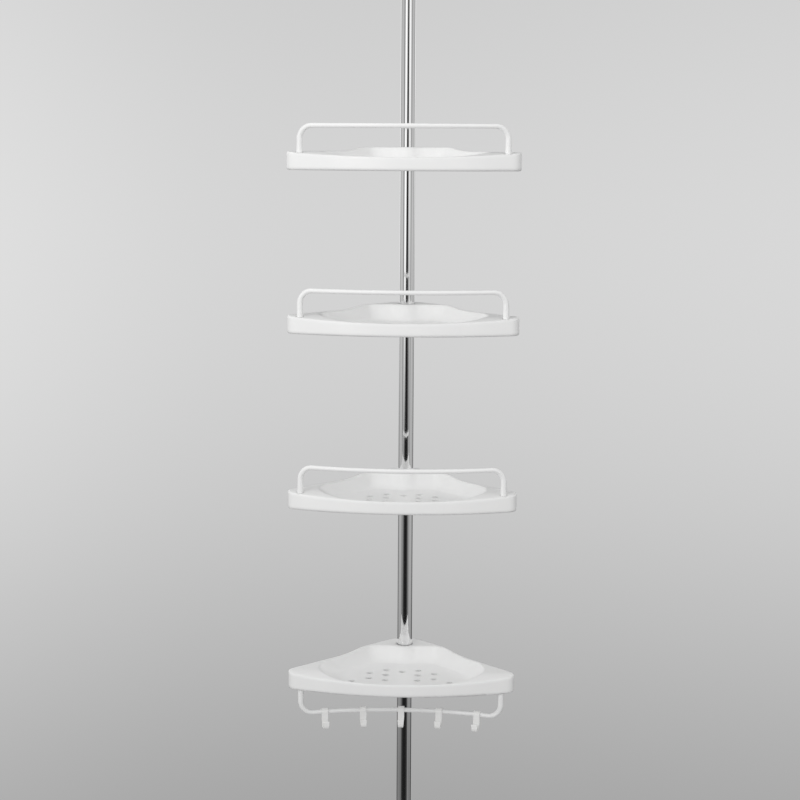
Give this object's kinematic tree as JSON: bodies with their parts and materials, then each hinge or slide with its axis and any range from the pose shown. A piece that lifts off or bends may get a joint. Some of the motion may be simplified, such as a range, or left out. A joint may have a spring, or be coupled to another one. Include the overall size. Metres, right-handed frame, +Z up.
{
  "type": "tension pole shelf unit",
  "caption": "Floor-to-ceiling chrome tension pole with white corner trays that slide and swivel on it, guard rails along their fronts and a rail of hooks under the lowest tray.",
  "frame": {"origin": "on the pole's axis at the floor, on the underside of the floor pad", "axes": "+Z up the pole, -Y to the open front of the trays, +Y into the room corner, +X to the right seen from the front"},
  "size_m": [0.3298, 0.2055, 1.9684],
  "materials": {
    "white_plastic": "moulded, soft gloss",
    "chrome_tube": "polished plating",
    "grey_plastic": "plain moulded",
    "pad_rubber": "matt, fine grain",
    "bare_steel": "bare, drawn"
  },
  "bodies": {
    "pole": {"floor_pad": "pad_rubber", "floor_cup": "white_plastic", "lower_tube": "chrome_tube", "lower_joint_sleeve": "bare_steel", "middle_tube": "chrome_tube", "upper_joint_sleeve": "bare_steel", "upper_tube": "chrome_tube", "guide_bush": "grey_plastic"},
    "lock_collar": {"lock_collar": "white_plastic"},
    "inner_tube": {"inner_tube": "chrome_tube", "guide_plug": "grey_plastic", "spring_seat": "grey_plastic", "plunger_bush": "grey_plastic", "tension_spring": "bare_steel"},
    "ceiling_foot": {"plunger": "chrome_tube", "ceiling_cup": "white_plastic", "ceiling_pad": "pad_rubber"},
    "top_clip": {"top_clip_right": "white_plastic", "top_clip_left": "white_plastic"},
    "top_tray": {"top_tray": "white_plastic", "top_guard_rail": "white_plastic"},
    "upper_clip": {"upper_clip_right": "white_plastic", "upper_clip_left": "white_plastic"},
    "upper_tray": {"upper_tray": "white_plastic", "upper_guard_rail": "white_plastic"},
    "lower_clip": {"lower_clip_right": "white_plastic", "lower_clip_left": "white_plastic"},
    "lower_tray": {"lower_tray": "white_plastic", "lower_guard_rail": "white_plastic"},
    "hook_clip": {"hook_clip_right": "white_plastic", "hook_clip_left": "white_plastic"},
    "hook_tray": {"hook_tray": "white_plastic", "hook_rail": "white_plastic"},
    "hook_1": {"hook_1": "white_plastic"},
    "hook_2": {"hook_2": "white_plastic"},
    "hook_3": {"hook_3": "white_plastic"},
    "hook_4": {"hook_4": "white_plastic"},
    "hook_5": {"hook_5": "white_plastic"}
  },
  "joints": [
    {"name": "lock_twist", "type": "hinge", "parent": "pole", "child": "lock_collar", "pos_m": [0, 0, 1.56], "axis": [0, 0, 1], "range_deg": [0, 120]},
    {"name": "telescope_slide", "type": "slide", "parent": "pole", "child": "inner_tube", "axis": [0, 0, 1], "range_m": [-0.2, 0.12]},
    {"name": "spring_plunger", "type": "slide", "parent": "inner_tube", "child": "ceiling_foot", "axis": [0, 0, 1], "range_m": [-0.05, 0], "stiffness_N_per_m": 3000, "springref_m": 0.01, "deforming": ["tension_spring"]},
    {"name": "top_height", "type": "slide", "parent": "pole", "child": "top_clip", "axis": [0, 0, 1], "range_m": [-0.07, 0.07]},
    {"name": "top_swivel", "type": "hinge", "parent": "top_clip", "child": "top_tray", "pos_m": [0, 0, 1.2892], "axis": [0, 0, 1], "continuous": true},
    {"name": "upper_height", "type": "slide", "parent": "pole", "child": "upper_clip", "axis": [0, 0, 1], "range_m": [-0.07, 0.07]},
    {"name": "upper_swivel", "type": "hinge", "parent": "upper_clip", "child": "upper_tray", "pos_m": [0, 0, 1.0583], "axis": [0, 0, 1], "continuous": true},
    {"name": "lower_height", "type": "slide", "parent": "pole", "child": "lower_clip", "axis": [0, 0, 1], "range_m": [-0.07, 0.07]},
    {"name": "lower_swivel", "type": "hinge", "parent": "lower_clip", "child": "lower_tray", "pos_m": [0, 0, 0.8045], "axis": [0, 0, 1], "continuous": true},
    {"name": "hook_height", "type": "slide", "parent": "pole", "child": "hook_clip", "axis": [0, 0, 1], "range_m": [-0.07, 0.07]},
    {"name": "hook_swivel", "type": "hinge", "parent": "hook_clip", "child": "hook_tray", "pos_m": [0, 0, 0.536], "axis": [0, 0, 1], "continuous": true},
    {"name": "hook_1_swing", "type": "hinge", "parent": "hook_tray", "child": "hook_1", "pos_m": [-0.1124, -0.12952, 0.4795], "axis": [0.9647, 0.2632, 0], "continuous": true},
    {"name": "hook_2_swing", "type": "hinge", "parent": "hook_tray", "child": "hook_2", "pos_m": [-0.0562, -0.11817, 0.4795], "axis": [0.9913, 0.1316, 0], "continuous": true},
    {"name": "hook_3_swing", "type": "hinge", "parent": "hook_tray", "child": "hook_3", "pos_m": [0, -0.11446, 0.4795], "axis": [1, 0, 0], "continuous": true},
    {"name": "hook_4_swing", "type": "hinge", "parent": "hook_tray", "child": "hook_4", "pos_m": [0.0562, -0.11817, 0.4795], "axis": [0.9913, -0.1316, 0], "continuous": true},
    {"name": "hook_5_swing", "type": "hinge", "parent": "hook_tray", "child": "hook_5", "pos_m": [0.1124, -0.12952, 0.4795], "axis": [0.9647, -0.2632, 0], "continuous": true}
  ]
}
